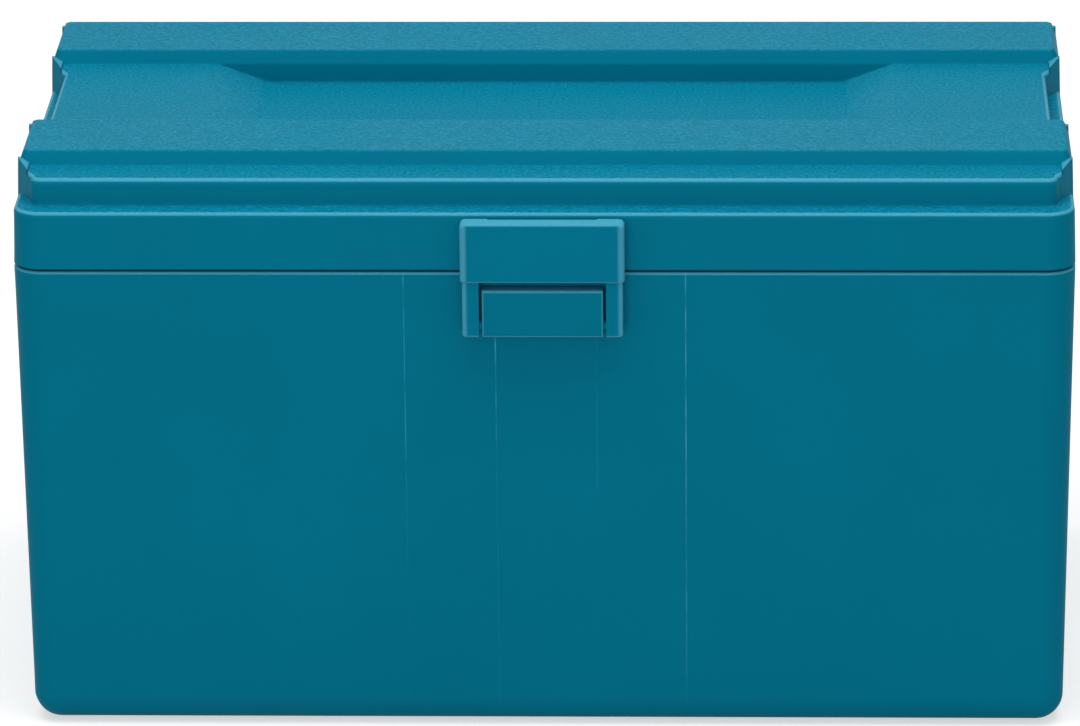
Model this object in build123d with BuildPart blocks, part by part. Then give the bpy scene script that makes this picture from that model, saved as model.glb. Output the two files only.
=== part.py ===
from build123d import *
from math import radians, tan
import os

# Storage box of moulded plastic with a hinged lid and a front snap latch.
# The box stands with its base on the ground plane. X runs along the width,
# the latch faces -Y and the hinges are on the +Y side. All sizes are in mm.

os.makedirs("parts", exist_ok=True)

# Driving sizes of the closed box
box_width = 300.0
box_depth = 174.0
tub_height = 138.0
lid_height = 29.0

# Moulding values shared by the tub and the lid
corner_radius = 8.6
wall = 2.6
lid_skin = 2.4
tub_draft = 0.75
lid_draft = 1.5

# Tub
base_round = 8.2
floor_thickness = 3.0
floor_inner_round = 4.0
base_border = 10.0
base_recess = 1.2
base_panel_round = 6.0
inner_rib_places = (14.0, 40.0)
inner_rib_width = 1.4
inner_rib_depth = 2.4
inner_rib_root = 0.5
inner_rib_drop = 12.0

# Step joint between the tub and the lid
lip_thickness = 1.1
lip_height = 2.5
lip_clearance = 0.3
rim_edge_bevel = 0.6
lid_edge_bevel = 0.3
shadow_gap_height = 0.5
shadow_gap_depth = 0.7

# Lid levels, measured up from the parting plane
ledge_height = 17.2
deck_height = 25.0
pocket_floor_height = 19.5

# Lid outline, measured in from the rim's front or back face
deck_inset = 7.2
bar_foot_inset = 20.5
bar_inner_inset = 53.3

# Lid outline along the width, measured in from the rim's ends
deck_end_inset = 4.6
deck_end_diagonal = 9.5
bar_lean = 20.0
bar_corner = 2.0
gusset_rise = 2.6
gusset_root = 2.0
bar_edge_round = 0.5
ledge_edge_round = 1.6
deck_edge_round = 1.9
deck_corner_round = 3.4
pocket_half_length = 100.0
pocket_floor_half_length = 85.0
pocket_end_round = 9.0

# Latch
latch_width = 46.3
latch_leg_span = 45.3
latch_reach = 5.5
latch_gap = 0.4
latch_top_height = 15.8
latch_plate = 2.4
latch_edge = 1.1
latch_corner = 1.5
plate_foot_bevel = 0.4
latch_leg_step = 0.5
leg_edge = 0.8
latch_opening_half = 17.9
latch_opening_top = -1.6
latch_foot = -17.9
latch_foot_bevel = 0.6
latch_heel_round = 2.6
boss_width = 34.3
boss_top = -4.1
boss_edge = 0.9
latch_pin_radius = 1.25
latch_pin_off = 3.1
latch_pin_rise = 3.0
latch_pin_inset = 0.4
turning_clearance = 0.08
latch_wall = 2.2
latch_top_wall = 2.2

# Catch on the lid, just below and behind the latch's hook
catch_width = 30.0
catch_top_height = 13.2
catch_rise = 3.2
catch_reach = 0.8
snap_clearance = 0.3

# Rear hinges
hinge_end_inset = 60.0
hinge_off = 4.6
knuckle_radius = 3.7
lid_knuckle_width = 16.0
tub_lug_width = 8.0
knuckle_gap = 0.35
hinge_web = 9.0
hinge_pin_radius = 1.5
hinge_pin_inset = 0.4
pin_chamfer = 0.2

# Worked-out places
half_width = box_width / 2
half_depth = box_depth / 2
parting = tub_height
lid_lean = tan(radians(lid_draft))
tub_lean = tan(radians(tub_draft))
deck_half_depth = half_depth - deck_inset
lid_top = parting + lid_height
deck_top = parting + deck_height
ledge = parting + ledge_height
pocket_floor = parting + pocket_floor_height
gusset_foot = half_width - deck_end_inset - deck_height * lid_lean
bar_height = lid_height - deck_height
bar_depth = bar_inner_inset - bar_foot_inset
bar_y = half_depth - (bar_inner_inset + bar_foot_inset) / 2
bar_half_width = half_width - deck_height * lid_lean
pocket_half_depth = half_depth - bar_inner_inset
latch_face = -half_depth - latch_reach
latch_back = -half_depth - latch_gap
latch_pin_y = -half_depth - latch_pin_off
latch_pin_z = parting + latch_foot + latch_pin_rise
hook_y = -half_depth - catch_reach - snap_clearance
hinge_place = half_width - hinge_end_inset
hinge_y = half_depth + hinge_off
hinge_pin_length = lid_knuckle_width + 2 * (knuckle_gap + tub_lug_width - hinge_pin_inset)
hinge_z = parting
base_flat_width = box_width - 2 * (tub_height * tub_lean + base_round)
base_flat_depth = box_depth - 2 * (tub_height * tub_lean + base_round)
base_panel_width = (base_flat_width - 3 * base_border) / 2
base_panel_depth = (base_flat_depth - 3 * base_border) / 2
inner_rib_foot = floor_thickness - inner_rib_root / 2
inner_rib_head = tub_height - inner_rib_drop
inner_rib_foot_y = -half_depth + wall + (tub_height - inner_rib_foot) * tub_lean
inner_rib_head_y = -half_depth + wall + inner_rib_drop * tub_lean


def edges_at(part, height):
    """Edges of a part that lie flat at one height."""
    return part.edges().filter_by(lambda e: abs(e.bounding_box().min.Z - height) < 1e-4
                                  and abs(e.bounding_box().max.Z - height) < 1e-4)


def rim_edges(part, height):
    """Outer edges of the level ring that the shadow gap leaves at one height."""
    ring = part.faces().filter_by(lambda f: abs(f.bounding_box().max.Z - height) < 1e-4
                                  and abs(f.bounding_box().min.Z - height) < 1e-4)
    return ring[0].outer_wire().edges()


def shadow_ring():
    """Ring cut from the outside of the wall where the lid meets the tub."""
    Rectangle(box_width + 1, box_depth + 1)
    RectangleRounded(
        box_width - 2 * shadow_gap_depth,
        box_depth - 2 * shadow_gap_depth,
        corner_radius - shadow_gap_depth,
        mode=Mode.SUBTRACT,
    )


# Tub
with BuildPart() as tub:
    with BuildSketch(Plane.XY.offset(parting)):
        RectangleRounded(box_width, box_depth, corner_radius)
    extrude(amount=-tub_height, taper=tub_draft)
    fillet(edges_at(tub, 0.0), radius=base_round)
    # Lower half of the shadow gap that runs round under the lid
    with BuildSketch(Plane.XY.offset(parting)):
        shadow_ring()
    extrude(amount=-shadow_gap_height / 2, mode=Mode.SUBTRACT)
    chamfer(rim_edges(tub, parting - shadow_gap_height / 2), length=rim_edge_bevel)
    # Locating lip that stands inside the lid's rim
    with BuildSketch(Plane.XY.offset(parting - wall)):
        RectangleRounded(
            box_width - 2 * (wall - lip_thickness),
            box_depth - 2 * (wall - lip_thickness),
            corner_radius - wall + lip_thickness,
        )
    extrude(amount=wall + lip_height)
    # Boss that carries the latch
    with BuildSketch(Plane.YZ.offset(-boss_width / 2)):
        with BuildLine():
            Polyline(
                (-half_depth + wall / 2, parting + boss_top),
                (latch_face + latch_leg_step, parting + boss_top),
                (latch_face + latch_leg_step, parting + latch_foot),
                (-half_depth + wall / 2, parting + latch_foot),
                close=True,
            )
        make_face()
    extrude(amount=boss_width)
    boss_face = tub.faces().sort_by(Axis.Y)[0]
    fillet(boss_face.edges(), radius=boss_edge)
    # Lugs of the two rear hinges
    for side in (-1, 1):
        for end in (-1, 1):
            lug_middle = side * hinge_place + end * (lid_knuckle_width / 2 + knuckle_gap + tub_lug_width / 2)
            with BuildSketch(Plane.YZ.offset(lug_middle - tub_lug_width / 2)):
                with BuildLine():
                    Polyline(
                        (half_depth - wall / 2, parting - knuckle_radius - hinge_web),
                        (half_depth - wall / 2, parting - rim_edge_bevel),
                        (hinge_y, parting - rim_edge_bevel),
                        (hinge_y + knuckle_radius * 0.8, parting - knuckle_radius * 0.6),
                        close=True,
                    )
                make_face()
                with Locations((hinge_y, hinge_z)):
                    Circle(knuckle_radius)
            extrude(amount=tub_lug_width)
    # Inside of the tub
    with BuildSketch(Plane.XY.offset(parting + lip_height)):
        RectangleRounded(box_width - 2 * wall, box_depth - 2 * wall, corner_radius - wall)
    extrude(amount=-(lip_height + tub_height - floor_thickness), taper=tub_draft, mode=Mode.SUBTRACT)
    fillet(edges_at(tub, floor_thickness), radius=floor_inner_round)
    # Upright ribs on the inside of the front wall
    for place in inner_rib_places:
        for side in (-1, 1):
            with BuildSketch(Plane.YZ.offset(side * place - inner_rib_width / 2)):
                with BuildLine():
                    Polyline(
                        (inner_rib_foot_y - inner_rib_root, inner_rib_foot),
                        (inner_rib_foot_y + inner_rib_depth, inner_rib_foot),
                        (inner_rib_head_y + inner_rib_depth, inner_rib_head - inner_rib_depth),
                        (inner_rib_head_y - inner_rib_root, inner_rib_head),
                        close=True,
                    )
                make_face()
            extrude(amount=inner_rib_width)
    # Four shallow panels under the base leave a border and a cross to stand on
    with BuildSketch(Plane.XY):
        with GridLocations(base_panel_width + base_border, base_panel_depth + base_border, 2, 2):
            RectangleRounded(base_panel_width, base_panel_depth, base_panel_round)
    extrude(amount=base_recess, mode=Mode.SUBTRACT)
    # Bores for the pins
    with BuildSketch(Plane.YZ.offset(-boss_width / 2 - 1)):
        with Locations((latch_pin_y, latch_pin_z)):
            Circle(latch_pin_radius)
    extrude(amount=boss_width + 2, mode=Mode.SUBTRACT)
    for side in (-1, 1):
        with BuildSketch(Plane.YZ.offset(side * hinge_place - lid_knuckle_width)):
            with Locations((hinge_y, hinge_z)):
                Circle(hinge_pin_radius)
        extrude(amount=2 * lid_knuckle_width, mode=Mode.SUBTRACT)
tub.part.label = "tub"
export_step(tub.part, "parts/tub.step")


def deck_outline():
    """Plan of the lid's deck: as wide as the rim at the two bars, narrower between and beyond them."""
    narrow = half_width - deck_end_inset
    inner = half_depth - bar_inner_inset
    foot = half_depth - bar_foot_inset
    quarter = [
        (narrow, inner - deck_end_diagonal),
        (half_width, inner),
        (half_width, foot),
        (narrow, foot + deck_end_diagonal),
        (narrow, deck_half_depth),
    ]
    right = [(x, -y) for x, y in reversed(quarter)] + quarter
    return right + [(-x, -y) for x, y in right]


def gusset_corners():
    """Plans of the gussets that fill the deck's widening at both ends and both sides of each bar."""
    narrow = half_width - deck_end_inset
    corners = []
    for edge, way in ((half_depth - bar_inner_inset, -1), (half_depth - bar_foot_inset, 1)):
        plan = [
            (narrow, edge - way * gusset_root),
            (half_width, edge - way * gusset_root),
            (half_width, edge),
            (narrow, edge + way * deck_end_diagonal),
        ]
        for x_side in (-1, 1):
            for y_side in (-1, 1):
                # Mirrored plans run backwards, so that every face looks up
                turned = plan[::way * x_side * y_side]
                corners.append([(x_side * x, y_side * y) for x, y in turned])
    return corners


def pocket_outline(skin, top):
    """Section of the lid's middle pocket, grown outwards by a skin, up to a given height."""
    floor = pocket_floor - skin
    slope = (pocket_half_length - pocket_floor_half_length) / (deck_height - pocket_floor_height)
    floor_half = pocket_floor_half_length + skin / 2
    top_half = floor_half + slope * (top - floor)
    return [(-floor_half, floor), (floor_half, floor), (top_half, top), (-top_half, top)]


# Lid
with BuildPart() as lid:
    # Rim
    with BuildSketch(Plane.XY.offset(parting)):
        RectangleRounded(box_width, box_depth, corner_radius)
    extrude(amount=ledge_height, taper=lid_draft)
    fillet(edges_at(lid, ledge), radius=ledge_edge_round)
    # Deck
    with BuildSketch(Plane.XY.offset(parting)):
        with BuildLine():
            Polyline(deck_outline(), close=True)
        make_face()
        fillet(vertices().filter_by(lambda v: abs(v.Y) > deck_half_depth - 1), radius=deck_corner_round)
    extrude(amount=deck_height, taper=lid_draft)
    fillet(edges_at(lid, deck_top), radius=deck_edge_round)
    # Gussets that ramp up from the deck to the ends of the bars
    with BuildSketch(Plane.XY.offset(parting)):
        for corner in gusset_corners():
            with BuildLine():
                Polyline(corner, close=True)
            make_face()
    extrude(amount=deck_height + gusset_rise, taper=lid_draft)
    for side in (-1, 1):
        with BuildSketch(Plane.XZ.offset(-half_depth)):
            with BuildLine():
                Polyline(
                    (side * gusset_foot, deck_top),
                    (side * gusset_foot, lid_top),
                    (side * half_width, lid_top),
                    (side * half_width, deck_top + gusset_rise),
                    close=True,
                )
            make_face()
        extrude(amount=box_depth, mode=Mode.SUBTRACT)
    # Two bars across the deck, flush with the rim's ends
    with BuildSketch(Plane.XY.offset(parting)):
        with GridLocations(0, 2 * bar_y, 1, 2):
            Rectangle(box_width, bar_depth + 2 * deck_height * lid_lean)
    extrude(amount=deck_height, taper=lid_draft)
    with BuildSketch(Plane.XY.offset(deck_top)):
        with GridLocations(0, 2 * bar_y, 1, 2):
            Rectangle(2 * bar_half_width, bar_depth)
        chamfer(vertices(), length=bar_corner)
    extrude(amount=bar_height, taper=bar_lean)
    fillet(edges_at(lid, lid_top), radius=bar_edge_round)
    # Upper half of the shadow gap
    with BuildSketch(Plane.XY.offset(parting)):
        shadow_ring()
    extrude(amount=shadow_gap_height / 2, mode=Mode.SUBTRACT)
    chamfer(rim_edges(lid, parting + shadow_gap_height / 2), length=lid_edge_bevel)
    # Hollow under the rim, the deck and the bars
    with BuildSketch(Plane.XY.offset(parting)):
        RectangleRounded(box_width - 2 * wall, box_depth - 2 * wall, corner_radius - wall)
    extrude(amount=ledge_height - lid_skin, taper=lid_draft, mode=Mode.SUBTRACT)
    with BuildSketch(Plane.XY.offset(parting)):
        with BuildLine():
            Polyline(deck_outline(), close=True)
        make_face()
        offset(amount=-lid_skin, mode=Mode.REPLACE)
    extrude(amount=deck_height - lid_skin, taper=lid_draft, mode=Mode.SUBTRACT)
    with BuildSketch(Plane.XY.offset(deck_top - lid_skin)):
        with GridLocations(0, 2 * bar_y, 1, 2):
            Rectangle(2 * (bar_half_width - lid_skin), bar_depth - 2 * lid_skin)
    extrude(amount=bar_height, taper=bar_lean, mode=Mode.SUBTRACT)
    # Rebate that takes the tub's locating lip
    with BuildSketch(Plane.XY.offset(parting)):
        RectangleRounded(
            box_width - 2 * (wall - lip_thickness - lip_clearance),
            box_depth - 2 * (wall - lip_thickness - lip_clearance),
            corner_radius - wall + lip_thickness + lip_clearance,
        )
    extrude(amount=lip_height + lip_clearance, mode=Mode.SUBTRACT)
    # Sunk middle pocket between the bars, with its own floor and walls
    with BuildSketch(Plane.XZ.offset(-pocket_half_depth - lid_skin)):
        with BuildLine():
            Polyline(pocket_outline(lid_skin, deck_top), close=True)
        make_face()
        fillet(vertices().sort_by(Axis.Y)[:2], radius=pocket_end_round)
    extrude(amount=2 * (pocket_half_depth + lid_skin))
    with BuildSketch(Plane.XZ.offset(-pocket_half_depth)):
        with BuildLine():
            Polyline(pocket_outline(0, lid_top), close=True)
        make_face()
        fillet(vertices().sort_by(Axis.Y)[:2], radius=pocket_end_round)
    extrude(amount=2 * pocket_half_depth, mode=Mode.SUBTRACT)
    # Catch on the front of the rim, sloped on top so that the hook can ride over it
    with BuildSketch(Plane.YZ.offset(-catch_width / 2)):
        with BuildLine():
            Polyline(
                (-half_depth + wall / 2, parting + catch_top_height - catch_rise),
                (-half_depth - catch_reach, parting + catch_top_height - catch_rise),
                (-half_depth - catch_reach, parting + catch_top_height - catch_rise / 2),
                (-half_depth + wall / 2, parting + catch_top_height),
                close=True,
            )
        make_face()
    extrude(amount=catch_width)
    # Knuckles of the two rear hinges
    for side in (-1, 1):
        with BuildSketch(Plane.YZ.offset(side * hinge_place - lid_knuckle_width / 2)):
            with BuildLine():
                Polyline(
                    (half_depth - wall / 2, parting + knuckle_radius + hinge_web),
                    (half_depth - wall / 2, parting + rim_edge_bevel),
                    (hinge_y, parting + rim_edge_bevel),
                    (hinge_y + knuckle_radius * 0.8, parting + knuckle_radius * 0.6),
                    close=True,
                )
            make_face()
            with Locations((hinge_y, hinge_z)):
                Circle(knuckle_radius)
        extrude(amount=lid_knuckle_width)
        with BuildSketch(Plane.YZ.offset(side * hinge_place - lid_knuckle_width)):
            with Locations((hinge_y, hinge_z)):
                Circle(hinge_pin_radius + turning_clearance)
        extrude(amount=2 * lid_knuckle_width, mode=Mode.SUBTRACT)
lid.part.label = "lid"
export_step(lid.part, "parts/lid.step")

# Latch
with BuildPart() as latch:
    # Two legs, a little thinner than the plate
    with BuildSketch(Plane.XZ.offset(-latch_face - latch_leg_step)):
        with Locations((0, parting + (latch_opening_top + latch_wall + latch_foot) / 2)):
            Rectangle(latch_leg_span, latch_opening_top + latch_wall - latch_foot)
            Rectangle(2 * latch_opening_half, latch_opening_top + latch_wall - latch_foot, mode=Mode.SUBTRACT)
    extrude(amount=latch_face + latch_leg_step - latch_back)
    leg_edges = latch.edges().filter_by(Axis.Z).filter_by(lambda e: e.center().Y < latch_back - 1)
    fillet(leg_edges.filter_by(lambda e: abs(e.center().X) > latch_opening_half + 1), radius=leg_edge)
    # Plate
    with BuildSketch(Plane.XZ.offset(-latch_face)):
        with Locations((0, parting + (latch_top_height + latch_opening_top) / 2)):
            Rectangle(latch_width, latch_top_height - latch_opening_top)
        fillet(vertices().group_by(Axis.Y)[-1], radius=latch_corner)
    extrude(amount=latch_face - latch_back)
    front_edges = latch.edges().filter_by(lambda e: abs(e.bounding_box().max.Y - latch_face) < 1e-4)
    fillet(front_edges.filter_by(lambda e: e.center().Z > parting), radius=latch_edge)
    front_edges = latch.edges().filter_by(lambda e: abs(e.bounding_box().max.Y - latch_face) < 1e-4)
    chamfer(front_edges.sort_by(Axis.Z)[0], length=plate_foot_bevel)
    # Rounded heel that clears the tub while the latch turns, and the foot's front edge
    foot_edges = edges_at(latch, parting + latch_foot).filter_by(Axis.X)
    fillet(foot_edges.filter_by(lambda e: e.center().Y > latch_pin_y), radius=latch_heel_round)
    foot_edges = edges_at(latch, parting + latch_foot).filter_by(Axis.X)
    chamfer(foot_edges.filter_by(lambda e: e.center().Y < latch_pin_y), length=latch_foot_bevel)
    # Hollow behind the plate
    with BuildSketch(Plane.XZ.offset(-latch_back)):
        with Locations((0, parting + (latch_top_height - latch_top_wall + latch_opening_top + latch_wall) / 2)):
            RectangleRounded(
                latch_width - 2 * latch_wall,
                latch_top_height - latch_top_wall - latch_opening_top - latch_wall,
                latch_edge,
            )
    extrude(amount=latch_back - latch_face - latch_plate, mode=Mode.SUBTRACT)
    # Notch in the top wall whose edge is the hook in front of the catch
    with BuildSketch(Plane.XY.offset(parting + latch_top_height)):
        with Locations((0, latch_back)):
            Rectangle(catch_width + 2 * latch_gap, 2 * (latch_back - hook_y))
    extrude(amount=-2 * latch_top_wall, mode=Mode.SUBTRACT)
    # Bore for the pin through both legs
    with BuildSketch(Plane.YZ.offset(-latch_width / 2)):
        with Locations((latch_pin_y, latch_pin_z)):
            Circle(latch_pin_radius + turning_clearance)
    extrude(amount=latch_width, mode=Mode.SUBTRACT)
latch.part.label = "latch"
export_step(latch.part, "parts/latch.step")

# Pin of the latch, held by the tub's boss
with BuildPart() as latch_pin:
    with BuildSketch(Plane.YZ.offset(-latch_leg_span / 2 + latch_pin_inset)):
        with Locations((latch_pin_y, latch_pin_z)):
            Circle(latch_pin_radius)
    extrude(amount=latch_leg_span - 2 * latch_pin_inset)
    chamfer(latch_pin.edges(), length=pin_chamfer)
latch_pin.part.label = "latch_pin"
export_step(latch_pin.part, "parts/latch_pin.step")

# Pins of the two rear hinges, held by the tub's lugs
with BuildPart() as hinge_pin_left:
    with BuildSketch(Plane.YZ.offset(-hinge_place - hinge_pin_length / 2)):
        with Locations((hinge_y, hinge_z)):
            Circle(hinge_pin_radius)
    extrude(amount=hinge_pin_length)
    chamfer(hinge_pin_left.edges(), length=pin_chamfer)
hinge_pin_left.part.label = "hinge_pin_left"
export_step(hinge_pin_left.part, "parts/hinge_pin_left.step")

with BuildPart() as hinge_pin_right:
    with BuildSketch(Plane.YZ.offset(hinge_place - hinge_pin_length / 2)):
        with Locations((hinge_y, hinge_z)):
            Circle(hinge_pin_radius)
    extrude(amount=hinge_pin_length)
    chamfer(hinge_pin_right.edges(), length=pin_chamfer)
hinge_pin_right.part.label = "hinge_pin_right"
export_step(hinge_pin_right.part, "parts/hinge_pin_right.step")
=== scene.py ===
from math import cos, sin

import bpy
from bpy.props import FloatProperty, FloatVectorProperty, PointerProperty
from mathutils import Matrix, Vector


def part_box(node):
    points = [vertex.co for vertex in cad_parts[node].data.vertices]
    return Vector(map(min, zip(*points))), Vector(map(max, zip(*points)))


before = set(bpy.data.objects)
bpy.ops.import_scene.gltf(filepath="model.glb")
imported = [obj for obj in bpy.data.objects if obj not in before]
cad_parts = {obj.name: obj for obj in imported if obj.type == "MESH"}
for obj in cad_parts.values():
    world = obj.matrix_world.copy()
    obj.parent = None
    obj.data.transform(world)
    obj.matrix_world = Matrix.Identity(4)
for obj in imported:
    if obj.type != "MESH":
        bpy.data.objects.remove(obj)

bl_info = {
    "name": "Tool storage box",
    "version": (1, 0, 0),
    "blender": (4, 5, 0),
    "location": "3D View > Sidebar > Storage box",
    "description": "Finishes a moulded tool storage box and sets it on a pale studio floor",
    "category": "Object",
}

MM = 0.001

# Places on the closed box, from the CAD nodes' boxes
TUB_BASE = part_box("tub")[0].z
LID_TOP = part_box("lid")[1].z
LATCH_LOW, LATCH_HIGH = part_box("latch")
HINGE_LOW, HINGE_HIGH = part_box("hinge_pin_left")
# The hinges' axis lies at the height where the lid meets the tub
PARTING = (HINGE_LOW.z + HINGE_HIGH.z) / 2
# How far the latch stands out from the top of the tub's front face, and where that face is
LATCH_STAND = 5.5 * MM
TUB_FRONT = LATCH_LOW.y + LATCH_STAND
# How far the front face leans in down to the base
TUB_LEAN = 1.8 * MM
# How far in front of that face a point still counts as on it, and where the boss starts
FRONT_SLACK = 0.2 * MM
BOSS_START = 1.0 * MM

# Nearly all values of a noise texture lie between these two
NOISE_LOW, NOISE_HIGH = 0.3, 0.7

# Typical index of refraction of polypropylene, and the small share of its mirror-like sheen that
# the grain leaves, matched to the photograph
PLASTIC_IOR = 1.49
PLASTIC_SHEEN = 0.022
# Upward part of a face's normal, 0 on upright and 1 on level faces, where the grain starts to
# deepen and where it is full, and the share of it that upright faces keep
GRAIN_START, GRAIN_FULL = 0.3, 0.9
UPRIGHT_GRAIN = 0.04
# Painted sheen: share of white on the tips of the grain of level faces
TIP_SHEEN = 0.05
# Slow drift of the pigment: its width, and how far it changes the tone and the roughness
DRIFT_WIDTH = 45 * MM
DRIFT_TONE = 0.05
DRIFT_ROUGHNESS = 0.04
# Samples that soften a crease, and how much smaller the roundings of the small parts are
CREASE_SAMPLES = 6
SMALL_PART_EDGE = 0.4

# The painted highlight on the edges goes by the face's normal. Round the latch and its boss, its
# largest level part falls from square to an axis, no tone, to turned away, full tone.
TURN_START, TURN_FULL = 0.97, 0.80
# On the case, its upward part rises to full tone, and the tone ends before the level faces
RISE_START, RISE_FULL = 0.38, 0.62
LEVEL_START, LEVEL_END = 0.88, 0.95
# Height below the lid's top that stays free of the tone, so that its bars look crisp
CRISP_HEIGHT = 1.0 * MM
# Bands along the latch's sides: full tone as far in as the first, none beyond the second
SIDE_FULL, SIDE_END = 1.1 * MM, 2.3 * MM

# Painted shade in the gap between the lid and the tub: its middle above the parting, and half its
# height
GAP_RISE, GAP_HALF = 0.18 * MM, 0.40 * MM

# Witness lines of the inner ribs: place along the front, how pale each one shows, and the
# height where it fades out
WITNESS_LINES = (
    (-39.4 * MM, 0.30, 55 * MM),
    (-13.6 * MM, 0.60, 80 * MM),
    (15.0 * MM, 0.10, 60 * MM),
    (40.2 * MM, 0.50, 12 * MM),
)
# A line is full this far above that height, and down to its faded share this far below it
FADE_ABOVE, FADE_BELOW = 45 * MM, 10 * MM
FADED_SHARE = 0.1
# The lines are broken in patches: width of a patch, values of its noise from a full break to
# none, and the share of a line that a break leaves
PATCH_WIDTH = 7 * MM
BREAK_LOW, BREAK_HIGH = 0.35, 0.65
BREAK_SHARE = 0.15

# Streaks along the drawn steel: length, width, depth, and how far they change the roughness
STREAK_LENGTH, STREAK_WIDTH, STREAK_DEPTH = 6 * MM, 0.08 * MM, 0.004 * MM
STREAK_ROUGHNESS = 0.08

# Camera: sensor in mm, and how far it sees in m
SENSOR_WIDTH = 36
CAMERA_REACH = 50
# Floor: distance below the base, and the glow that makes it white to the camera
FLOOR_GAP = 0.05 * MM
FLOOR_GLOW = 0.56
# Softboxes, all turned to the middle of the box: name, place, width and height, and the name of
# the stage setting that holds the power
SOFTBOXES = (
    ("near_softbox", (0, -0.25, 0.95), (0.9, 0.4), "near_power"),
    ("overhead_softbox", (0, 0.15, 1.6), (1.6, 1.0), "overhead_power"),
    ("front_softbox", (-0.3, -2.2, 0.45), (1.2, 0.8), "front_power"),
)


def linear_colour(hex_code):
    """Turn an sRGB hex colour into linear red, green and blue."""
    parts = [int(hex_code[i:i + 2], 16) / 255 for i in (1, 3, 5)]
    return tuple(c / 12.92 if c <= 0.04045 else ((c + 0.055) / 1.055) ** 2.4 for c in parts)


def opaque(colour, gain=1.0):
    """A colour times a gain, with the fourth number that a colour socket takes."""
    return tuple(c * gain for c in colour) + (1,)


def add_node(tree, kind, settings=None, inputs=None):
    """Add one node with its settings, and give its inputs plain values or links."""
    node = tree.nodes.new(kind)
    for name, value in (settings or {}).items():
        setattr(node, name, value)
    for name, value in (inputs or {}).items():
        if isinstance(value, bpy.types.NodeSocket):
            tree.links.new(value, node.inputs[name])
        else:
            node.inputs[name].default_value = value
    return node


def new_material(name):
    """Make an empty node material and return it with its tree."""
    material = bpy.data.materials.new(name)
    material.use_nodes = True
    material.node_tree.nodes.clear()
    return material, material.node_tree


def assign(node_name, material):
    """Give a CAD node its material."""
    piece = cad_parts[node_name]
    piece.data.materials.clear()
    piece.data.materials.append(material)


class CasePlasticSettings(bpy.types.PropertyGroup):
    """Colours, grain and wear of the moulded case and its latch."""

    colour: FloatVectorProperty(
        name="Case colour", description="Pigment of the tub and the lid",
        subtype="COLOR", size=3, min=0, max=1, default=linear_colour("#00748F"))
    latch_colour: FloatVectorProperty(
        name="Latch colour", description="Pigment of the latch, moulded apart from the case",
        subtype="COLOR", size=3, min=0, max=1, default=linear_colour("#007793"))
    grain_width: FloatProperty(
        name="Grain width",
        description="Width of one grain of the spark-eroded mould texture, as coarse as it shows",
        unit="LENGTH", default=0.9 * MM, min=0.1 * MM)
    grain_depth: FloatProperty(
        name="Grain depth", description="Depth of the mould texture",
        unit="LENGTH", default=0.2 * MM, min=0)
    grain_tone: FloatProperty(
        name="Grain tone", description="How much paler and darker single grains look",
        subtype="FACTOR", default=0.26, min=0, max=1)
    edge_radius: FloatProperty(
        name="Edge radius",
        description="Radius of the mould's smallest edge roundings, seen as soft creases",
        unit="LENGTH", default=0.9 * MM, min=0)
    # Painted highlight: a pale tone on roundings that face half up and all round the latch, for
    # the light they catch
    edge_highlight_colour: FloatVectorProperty(
        name="Edge colour",
        description="Tone of the rounded edges, rubbed pale and smooth in handling",
        subtype="COLOR", size=3, min=0, max=1, default=linear_colour("#55ABC5"))
    edge_highlight_strength: FloatProperty(
        name="Edge strength", description="How far the rounded edges have turned pale",
        subtype="FACTOR", default=0.6, min=0, max=1)
    roughness: FloatProperty(
        name="Roughness", description="Spread of the plastic's sheen",
        subtype="FACTOR", default=0.48, min=0, max=1)
    # Painted shade: the dark tone and its strength laid in the gap between the lid and the tub
    gap_shade_colour: FloatVectorProperty(
        name="Dust colour", description="Tone of the dust in the gap between the lid and the tub",
        subtype="COLOR", size=3, min=0, max=1, default=linear_colour("#06222E"))
    gap_shade: FloatProperty(
        name="Dust in the gap",
        description="How dark the gap between the lid and the tub has become",
        subtype="FACTOR", default=0.7, min=0, max=1)
    witness_colour: FloatVectorProperty(
        name="Witness line colour",
        description="Tone of the pale lines that the inner ribs leave on the front",
        subtype="COLOR", size=3, min=0, max=1, default=linear_colour("#4FC0DC"))
    witness_width: FloatProperty(
        name="Witness line width", description="Width of those lines",
        unit="LENGTH", default=0.6 * MM, min=0.1 * MM)


class SteelSettings(bpy.types.PropertyGroup):
    """Finish of the hinge pins."""

    colour: FloatVectorProperty(
        name="Steel colour", description="Colour of the drawn steel wire",
        subtype="COLOR", size=3, min=0, max=1, default=linear_colour("#C4C6C8"))
    roughness: FloatProperty(
        name="Roughness", description="Spread of the steel's reflection",
        subtype="FACTOR", default=0.32, min=0, max=1)


class StageSettings(bpy.types.PropertyGroup):
    """Camera, floor and lamps."""

    camera_place: FloatVectorProperty(
        name="Camera place", description="Where the camera stands",
        subtype="TRANSLATION", size=3, default=(0.0656, -1.9803, 0.7632))
    camera_yaw: FloatProperty(
        name="Yaw", description="Turn of the camera about the upright axis",
        unit="ROTATION", default=0.03516)
    camera_pitch: FloatProperty(
        name="Pitch", description="How far the camera looks down",
        unit="ROTATION", default=0.33161)
    camera_roll: FloatProperty(
        name="Roll", description="Turn of the camera about its own axis",
        unit="ROTATION", default=-0.01001)
    lens: FloatProperty(
        name="Lens", description="Focal length in mm on a sensor 36 mm wide", default=236.3)
    floor_colour: FloatVectorProperty(
        name="Floor colour", description="Colour of the studio floor",
        subtype="COLOR", size=3, min=0, max=1, default=linear_colour("#C2C3C3"))
    floor_width: FloatProperty(
        name="Floor width", description="Width of the studio floor", unit="LENGTH", default=8)
    near_power: FloatProperty(
        name="Near lamp", description="Power in W of the small softbox above the lid's front",
        default=4)
    overhead_power: FloatProperty(
        name="Overhead lamp", description="Power in W of the large softbox high above the box",
        default=9)
    front_power: FloatProperty(
        name="Front lamp", description="Power in W of the soft fill below the camera",
        default=11)
    world_strength: FloatProperty(
        name="World", description="Strength of the even light from all round", default=0.45)


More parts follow.
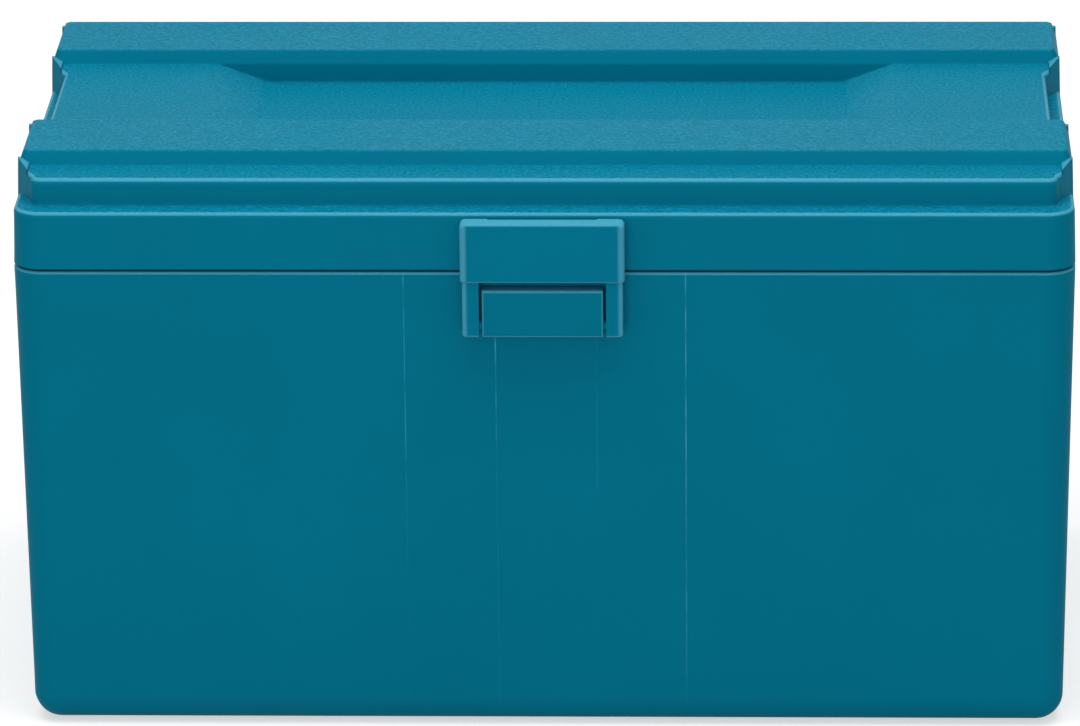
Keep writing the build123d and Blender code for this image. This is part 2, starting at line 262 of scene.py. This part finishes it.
def moulded_polypropylene(
        name, colour, settings, small_part=False, lit=True, front_lines=()):
    """Polypropylene from a spark-eroded mould: dyed through, semi-matt, with a fine even grain.

    The eye sees a flat tone on faces seen square on, and a speckled pale sheen on faces seen low.
    """
    material, tree = new_material(name)
    coordinates = add_node(tree, "ShaderNodeTexCoord").outputs
    place = coordinates["Object"]
    axes = add_node(tree, "ShaderNodeSeparateXYZ", inputs={"Vector": place}).outputs
    facing = add_node(tree, "ShaderNodeSeparateXYZ", inputs={
        "Vector": coordinates["Normal"]}).outputs
    # The real grain is about 0.3 mm wide and is drawn coarser, so that it shows
    grain = add_node(tree, "ShaderNodeTexNoise", inputs={
        "Vector": place, "Scale": 1 / settings.grain_width, "Detail": 2.0, "Roughness": 0.7})
    # The mould's upright walls are polished finer, so that they slide off, and level faces keep
    # the full grain
    depth = add_node(tree, "ShaderNodeMapRange", {"interpolation_type": "SMOOTHSTEP"}, {
        "Value": facing["Z"], "From Min": GRAIN_START, "From Max": GRAIN_FULL,
        "To Min": UPRIGHT_GRAIN, "To Max": 1.0}).outputs["Result"]
    # No edge of the mould is sharp, so that creases between two faces catch the light softly
    soft = add_node(tree, "ShaderNodeBevel", {"samples": CREASE_SAMPLES}, {
        "Radius": settings.edge_radius * (SMALL_PART_EDGE if small_part else 1.0)})
    bump = add_node(tree, "ShaderNodeBump", inputs={
        "Height": grain.outputs["Fac"], "Strength": depth,
        "Distance": settings.grain_depth, "Normal": soft.outputs["Normal"]})
    # Slow drift of the pigment, a few centimetres wide, as the melt fills the mould
    drift = add_node(tree, "ShaderNodeTexNoise", inputs={
        "Vector": place, "Scale": 1 / DRIFT_WIDTH, "Detail": 3.0, "Roughness": 0.5})
    tone = add_node(tree, "ShaderNodeMix", {"data_type": "RGBA"}, {
        "Factor": drift.outputs["Fac"],
        "A": opaque(colour, 1 - DRIFT_TONE), "B": opaque(colour, 1 + DRIFT_TONE)})
    speckle = add_node(tree, "ShaderNodeMapRange", inputs={
        "Value": grain.outputs["Fac"], "From Min": NOISE_LOW, "From Max": NOISE_HIGH,
        "To Min": -settings.grain_tone, "To Max": settings.grain_tone}).outputs["Result"]
    gain = add_node(tree, "ShaderNodeMath", {"operation": "MULTIPLY_ADD"}, {
        0: speckle, 1: depth, 2: 1.0})
    shade = add_node(tree, "ShaderNodeVectorMath", {"operation": "SCALE"}, {
        0: tone.outputs["Result"], "Scale": gain.outputs["Value"]}).outputs["Vector"]
    # Painted sheen: the tips of single grains on level faces are mixed towards white
    tip_sheen = add_node(tree, "ShaderNodeMath", {"operation": "MULTIPLY"}, {0: depth, 1: speckle})
    paleness = add_node(tree, "ShaderNodeMath", {"operation": "MULTIPLY"}, {
        0: tip_sheen.outputs["Value"], 1: TIP_SHEEN})
    shade = add_node(tree, "ShaderNodeMix", {"data_type": "RGBA", "clamp_factor": True}, {
        "Factor": paleness.outputs["Value"], "A": shade, "B": (1, 1, 1, 1)}).outputs["Result"]
    # Painted highlight: roundings that face half up, and the edges and top of the latch, are
    # mixed towards a pale tone
    if lit:
        shade = add_node(tree, "ShaderNodeMix", {"data_type": "RGBA"}, {
            "Factor": painted_edge_highlights(tree, axes, facing, settings, small_part),
            "A": shade, "B": opaque(settings.edge_highlight_colour)}).outputs["Result"]
    if front_lines:
        shade = add_node(tree, "ShaderNodeMix", {"data_type": "RGBA"}, {
            "Factor": witness_lines(tree, place, axes, settings, front_lines),
            "A": shade, "B": opaque(settings.witness_colour)}).outputs["Result"]
    if not small_part:
        # Painted shade: a dark tone all round in the gap between the lid and the tub, where shade
        # falls
        gap = add_node(tree, "ShaderNodeMath", {"operation": "COMPARE"}, {
            0: axes["Z"], 1: PARTING + GAP_RISE, 2: GAP_HALF})
        darkening = add_node(tree, "ShaderNodeMath", {"operation": "MULTIPLY"}, {
            0: gap.outputs["Value"], 1: settings.gap_shade})
        shade = add_node(tree, "ShaderNodeMix", {"data_type": "RGBA"}, {
            "Factor": darkening.outputs["Value"],
            "A": shade, "B": opaque(settings.gap_shade_colour)}).outputs["Result"]
    # Fine variation of the sheen, so that large faces do not look sprayed
    spread = add_node(tree, "ShaderNodeMapRange", inputs={
        "Value": drift.outputs["Fac"], "From Min": NOISE_LOW, "From Max": NOISE_HIGH,
        "To Min": settings.roughness - DRIFT_ROUGHNESS,
        "To Max": settings.roughness + DRIFT_ROUGHNESS})
    surface = add_node(tree, "ShaderNodeBsdfPrincipled", inputs={
        "Base Color": shade, "Roughness": spread.outputs["Result"],
        "IOR": PLASTIC_IOR, "Specular IOR Level": PLASTIC_SHEEN,
        "Normal": bump.outputs["Normal"]})
    add_node(tree, "ShaderNodeOutputMaterial", inputs={"Surface": surface.outputs["BSDF"]})
    return material


def painted_edge_highlights(tree, axes, facing, settings, small_part):
    """Share of the painted edge highlight: full where a rounding looks half up, none on level
    faces.

    Upright faces have none either. On the latch and its boss every edge counts, also the upright
    ones and the latch's top. The tops of the lid's bars are crisp and have none.
    """
    sideways, forward = (
        add_node(tree, "ShaderNodeMath", {"operation": "ABSOLUTE"}, {0: facing[axis]})
        for axis in ("X", "Y"))
    largest = add_node(tree, "ShaderNodeMath", {"operation": "MAXIMUM"}, {
        0: sideways.outputs["Value"], 1: forward.outputs["Value"]})
    all_round = add_node(tree, "ShaderNodeMapRange", {"interpolation_type": "SMOOTHSTEP"}, {
        "Value": largest.outputs["Value"], "From Min": TURN_START, "From Max": TURN_FULL,
        "To Min": 0.0, "To Max": settings.edge_highlight_strength}).outputs["Result"]
    if small_part:
        # Painted highlight in a narrow band along both sides of the latch as well
        off_middle = add_node(tree, "ShaderNodeMath", {"operation": "ABSOLUTE"}, {0: axes["X"]})
        band = add_node(tree, "ShaderNodeMapRange", {"interpolation_type": "SMOOTHSTEP"}, {
            "Value": off_middle.outputs["Value"],
            "From Min": LATCH_HIGH.x - SIDE_END, "From Max": LATCH_HIGH.x - SIDE_FULL,
            "To Min": 0.0, "To Max": settings.edge_highlight_strength})
        return add_node(tree, "ShaderNodeMath", {"operation": "MAXIMUM"}, {
            0: all_round, 1: band.outputs["Result"]}).outputs["Value"]
    on_boss = add_node(tree, "ShaderNodeMath", {"operation": "LESS_THAN"}, {
        0: axes["Y"], 1: TUB_FRONT - BOSS_START})
    boss = add_node(tree, "ShaderNodeMath", {"operation": "MULTIPLY"}, {
        0: all_round, 1: on_boss.outputs["Value"]})
    rising = add_node(tree, "ShaderNodeMapRange", {"interpolation_type": "SMOOTHSTEP"}, {
        "Value": facing["Z"], "From Min": RISE_START, "From Max": RISE_FULL,
        "To Min": 0.0, "To Max": settings.edge_highlight_strength})
    not_level = add_node(tree, "ShaderNodeMapRange", {"interpolation_type": "SMOOTHSTEP"}, {
        "Value": facing["Z"], "From Min": LEVEL_END, "From Max": LEVEL_START})
    half_up = add_node(tree, "ShaderNodeMath", {"operation": "MULTIPLY"}, {
        0: rising.outputs["Result"], 1: not_level.outputs["Result"]})
    below_bars = add_node(tree, "ShaderNodeMath", {"operation": "LESS_THAN"}, {
        0: axes["Z"], 1: LID_TOP - CRISP_HEIGHT})
    case = add_node(tree, "ShaderNodeMath", {"operation": "MULTIPLY"}, {
        0: half_up.outputs["Value"], 1: below_bars.outputs["Value"]})
    return add_node(tree, "ShaderNodeMath", {"operation": "MAXIMUM"}, {
        0: case.outputs["Value"], 1: boss.outputs["Value"]}).outputs["Value"]


def witness_lines(tree, place, axes, settings, lines):
    """Share of the witness tone: upright lines where the inner ribs sank the front a little."""
    behind = add_node(tree, "ShaderNodeMath", {"operation": "LESS_THAN"}, {
        0: axes["Y"], 1: TUB_FRONT + TUB_LEAN})
    before = add_node(tree, "ShaderNodeMath", {"operation": "GREATER_THAN"}, {
        0: axes["Y"], 1: TUB_FRONT - FRONT_SLACK})
    on_front = add_node(tree, "ShaderNodeMath", {"operation": "MULTIPLY"}, {
        0: behind.outputs["Value"], 1: before.outputs["Value"]})
    patches = add_node(tree, "ShaderNodeTexNoise", inputs={
        "Vector": place, "Scale": 1 / PATCH_WIDTH, "Detail": 3.0})
    breaks = add_node(tree, "ShaderNodeMapRange", inputs={
        "Value": patches.outputs["Fac"], "From Min": BREAK_LOW, "From Max": BREAK_HIGH,
        "To Min": BREAK_SHARE, "To Max": 1.0})
    total = None
    for line_x, paleness, fade_height in lines:
        off = add_node(tree, "ShaderNodeMath", {"operation": "SUBTRACT"}, {
            0: axes["X"], 1: line_x})
        away = add_node(tree, "ShaderNodeMath", {"operation": "ABSOLUTE"}, {
            0: off.outputs["Value"]})
        core = add_node(tree, "ShaderNodeMapRange", {"interpolation_type": "SMOOTHSTEP"}, {
            "Value": away.outputs["Value"],
            "From Min": settings.witness_width / 2, "From Max": 0.0,
            "To Min": 0.0, "To Max": paleness})
        fade = add_node(tree, "ShaderNodeMapRange", {"interpolation_type": "SMOOTHSTEP"}, {
            "Value": axes["Z"],
            "From Min": fade_height - FADE_BELOW, "From Max": fade_height + FADE_ABOVE,
            "To Min": FADED_SHARE, "To Max": 1.0})
        line = add_node(tree, "ShaderNodeMath", {"operation": "MULTIPLY"}, {
            0: core.outputs["Result"], 1: fade.outputs["Result"]}).outputs["Value"]
        total = line if total is None else add_node(tree, "ShaderNodeMath", {
            "operation": "ADD"}, {0: total, 1: line}).outputs["Value"]
    shown = add_node(tree, "ShaderNodeMath", {"operation": "MULTIPLY"}, {
        0: total, 1: on_front.outputs["Value"]})
    return add_node(tree, "ShaderNodeMath", {"operation": "MULTIPLY"}, {
        0: shown.outputs["Value"], 1: breaks.outputs["Result"]}).outputs["Value"]


def drawn_steel(settings):
    """Bright steel wire, drawn through a die: fine streaks run along its length."""
    material, tree = new_material("drawn_steel_wire")
    place = add_node(tree, "ShaderNodeTexCoord").outputs["Object"]
    # The pins lie along X, and so do the streaks
    stretch = add_node(tree, "ShaderNodeMapping", inputs={
        "Vector": place, "Scale": (1 / STREAK_LENGTH, 1 / STREAK_WIDTH, 1 / STREAK_WIDTH)})
    streaks = add_node(tree, "ShaderNodeTexNoise", inputs={
        "Vector": stretch.outputs["Vector"], "Scale": 1.0, "Detail": 2.0})
    spread = add_node(tree, "ShaderNodeMapRange", inputs={
        "Value": streaks.outputs["Fac"], "From Min": NOISE_LOW, "From Max": NOISE_HIGH,
        "To Min": settings.roughness - STREAK_ROUGHNESS,
        "To Max": settings.roughness + STREAK_ROUGHNESS})
    bump = add_node(tree, "ShaderNodeBump", inputs={
        "Height": streaks.outputs["Fac"], "Strength": 1.0, "Distance": STREAK_DEPTH})
    surface = add_node(tree, "ShaderNodeBsdfPrincipled", inputs={
        "Base Color": opaque(settings.colour), "Metallic": 1.0,
        "Roughness": spread.outputs["Result"], "Normal": bump.outputs["Normal"]})
    add_node(tree, "ShaderNodeOutputMaterial", inputs={"Surface": surface.outputs["BSDF"]})
    return material


def seen_directly(tree):
    """1 for the rays of the camera, of mirrors and of glass, and 0 for those that only light."""
    rays = add_node(tree, "ShaderNodeLightPath").outputs
    seen = rays["Is Camera Ray"]
    for kind in ("Is Glossy Ray", "Is Transmission Ray"):
        seen = add_node(tree, "ShaderNodeMath", {"operation": "MAXIMUM"}, {
            0: seen, 1: rays[kind]}).outputs["Value"]
    return seen


def paper_floor(settings):
    """Matt pale paper: white to the camera, and darker only where the box shades it."""
    material, tree = new_material("matt_paper_floor")
    paper = add_node(tree, "ShaderNodeBsdfDiffuse", inputs={
        "Color": opaque(settings.floor_colour)})
    glow = add_node(tree, "ShaderNodeEmission", inputs={
        "Color": (1, 1, 1, 1), "Strength": FLOOR_GLOW})
    dark = add_node(tree, "ShaderNodeEmission", inputs={"Strength": 0.0})
    lift = add_node(tree, "ShaderNodeMixShader", inputs={
        0: seen_directly(tree), 1: dark.outputs["Emission"], 2: glow.outputs["Emission"]})
    both = add_node(tree, "ShaderNodeAddShader", inputs={
        0: paper.outputs["BSDF"], 1: lift.outputs["Shader"]})
    add_node(tree, "ShaderNodeOutputMaterial", inputs={"Surface": both.outputs["Shader"]})
    return material


class STORAGE_OT_case(bpy.types.Operator):
    """Give the tub and the lid their moulded plastic"""

    bl_idname = "storage_box.case"
    bl_label = "Finish the case"

    def execute(self, context):
        settings = context.scene.storage_plastic
        colour = tuple(settings.colour)
        lid_plastic = moulded_polypropylene("moulded_polypropylene_lid", colour, settings)
        tub_plastic = moulded_polypropylene(
            "moulded_polypropylene_tub", colour, settings, front_lines=WITNESS_LINES)
        assign("lid", lid_plastic)
        assign("tub", tub_plastic)
        return {"FINISHED"}


class STORAGE_OT_latch(bpy.types.Operator):
    """Give the snap latch and its pin their moulded plastic"""

    bl_idname = "storage_box.latch"
    bl_label = "Finish the latch"

    def execute(self, context):
        settings = context.scene.storage_plastic
        plastic = moulded_polypropylene(
            "moulded_polypropylene_latch", tuple(settings.latch_colour), settings,
            small_part=True)
        assign("latch", plastic)
        pin_plastic = moulded_polypropylene(
            "moulded_polypropylene_pin", tuple(settings.colour), settings,
            small_part=True, lit=False)
        assign("latch_pin", pin_plastic)
        return {"FINISHED"}


class STORAGE_OT_pins(bpy.types.Operator):
    """Give the hinge pins their drawn steel"""

    bl_idname = "storage_box.pins"
    bl_label = "Finish the pins"

    def execute(self, context):
        steel = drawn_steel(context.scene.storage_steel)
        for name in ("hinge_pin_left", "hinge_pin_right"):
            assign(name, steel)
        return {"FINISHED"}


class STORAGE_OT_stage(bpy.types.Operator):
    """Set the camera, the floor and the soft lamps"""

    bl_idname = "storage_box.stage"
    bl_label = "Set the stage"

    def execute(self, context):
        settings = context.scene.storage_stage
        self.place_camera(context, settings)
        self.lay_floor(context, settings)
        middle = Vector((0, 0, LID_TOP / 2))
        for name, place, size, power in SOFTBOXES:
            self.hang_lamp(context, name, Vector(place), middle, size, getattr(settings, power))
        self.light_world(context, settings)
        return {"FINISHED"}

    def place_camera(self, context, settings):
        """Stand the camera at the photograph's viewing angle."""
        yaw, pitch, roll = settings.camera_yaw, settings.camera_pitch, settings.camera_roll
        forward = Vector((-sin(yaw) * cos(pitch), cos(yaw) * cos(pitch), -sin(pitch)))
        level_right = Vector((cos(yaw), sin(yaw), 0))
        level_up = level_right.cross(forward)
        right = level_right * cos(roll) + level_up * sin(roll)
        up = level_up * cos(roll) - level_right * sin(roll)
        data = bpy.data.cameras.new("photo_camera")
        data.sensor_fit = "HORIZONTAL"
        data.sensor_width = SENSOR_WIDTH
        data.lens = settings.lens
        data.clip_end = CAMERA_REACH
        camera = bpy.data.objects.new("photo_camera", data)
        turn = Matrix((right, up, -forward)).transposed().to_4x4()
        camera.matrix_world = Matrix.Translation(settings.camera_place) @ turn
        context.scene.collection.objects.link(camera)
        context.scene.camera = camera

    def lay_floor(self, context, settings):
        """Lay the floor just under the base."""
        half = settings.floor_width / 2
        level = TUB_BASE - FLOOR_GAP
        corners = [(x * half, y * half, level) for x, y in ((-1, -1), (1, -1), (1, 1), (-1, 1))]
        mesh = bpy.data.meshes.new("studio_floor")
        mesh.from_pydata(corners, [], [(0, 1, 2, 3)])
        mesh.materials.append(paper_floor(settings))
        floor = bpy.data.objects.new("studio_floor", mesh)
        context.scene.collection.objects.link(floor)

    def hang_lamp(self, context, name, place, target, size, power):
        """Hang one rectangular softbox that looks at a point."""
        data = bpy.data.lights.new(name, "AREA")
        data.shape = "RECTANGLE"
        data.size, data.size_y = size
        data.energy = power
        lamp = bpy.data.objects.new(name, data)
        turn = (target - place).to_track_quat("-Z", "Y").to_matrix().to_4x4()
        lamp.matrix_world = Matrix.Translation(place) @ turn
        context.scene.collection.objects.link(lamp)

    def light_world(self, context, settings):
        """Light evenly from all round, and show white to whatever looks past the floor."""
        world = bpy.data.worlds.new("studio_room")
        world.use_nodes = True
        tree = world.node_tree
        tree.nodes.clear()
        room = add_node(tree, "ShaderNodeBackground", inputs={
            "Color": (1, 1, 1, 1), "Strength": settings.world_strength})
        white = add_node(tree, "ShaderNodeBackground", inputs={
            "Color": (1, 1, 1, 1), "Strength": 1.0})
        mix = add_node(tree, "ShaderNodeMixShader", inputs={
            0: seen_directly(tree), 1: room.outputs["Background"],
            2: white.outputs["Background"]})
        add_node(tree, "ShaderNodeOutputWorld", inputs={"Surface": mix.outputs["Shader"]})
        context.scene.world = world
        context.scene.view_settings.view_transform = "Standard"


class STORAGE_PT_panel(bpy.types.Panel):
    """Sidebar panel that lists the steps and their settings"""

    bl_idname = "STORAGE_PT_panel"
    bl_label = "Storage box"
    bl_space_type = "VIEW_3D"
    bl_region_type = "UI"
    bl_category = "Storage box"

    def draw(self, context):
        scene = context.scene
        for title, settings, steps in (
            ("Case and latch", scene.storage_plastic, (STORAGE_OT_case, STORAGE_OT_latch)),
            ("Pins", scene.storage_steel, (STORAGE_OT_pins,)),
            ("Stage", scene.storage_stage, (STORAGE_OT_stage,)),
        ):
            box = self.layout.box()
            box.label(text=title)
            for name in settings.__annotations__:
                box.prop(settings, name)
            for step in steps:
                box.operator(step.bl_idname)


CLASSES = (
    CasePlasticSettings,
    SteelSettings,
    StageSettings,
    STORAGE_OT_case,
    STORAGE_OT_latch,
    STORAGE_OT_pins,
    STORAGE_OT_stage,
    STORAGE_PT_panel,
)


def register():
    for cls in CLASSES:
        bpy.utils.register_class(cls)
    bpy.types.Scene.storage_plastic = PointerProperty(type=CasePlasticSettings)
    bpy.types.Scene.storage_steel = PointerProperty(type=SteelSettings)
    bpy.types.Scene.storage_stage = PointerProperty(type=StageSettings)


def unregister():
    del bpy.types.Scene.storage_stage
    del bpy.types.Scene.storage_steel
    del bpy.types.Scene.storage_plastic
    for cls in reversed(CLASSES):
        bpy.utils.unregister_class(cls)


def main():
    """Finish every piece and set the stage."""
    register()
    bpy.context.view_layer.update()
    bpy.ops.storage_box.case()
    bpy.ops.storage_box.latch()
    bpy.ops.storage_box.pins()
    bpy.ops.storage_box.stage()


if __name__ == "__main__":
    main()
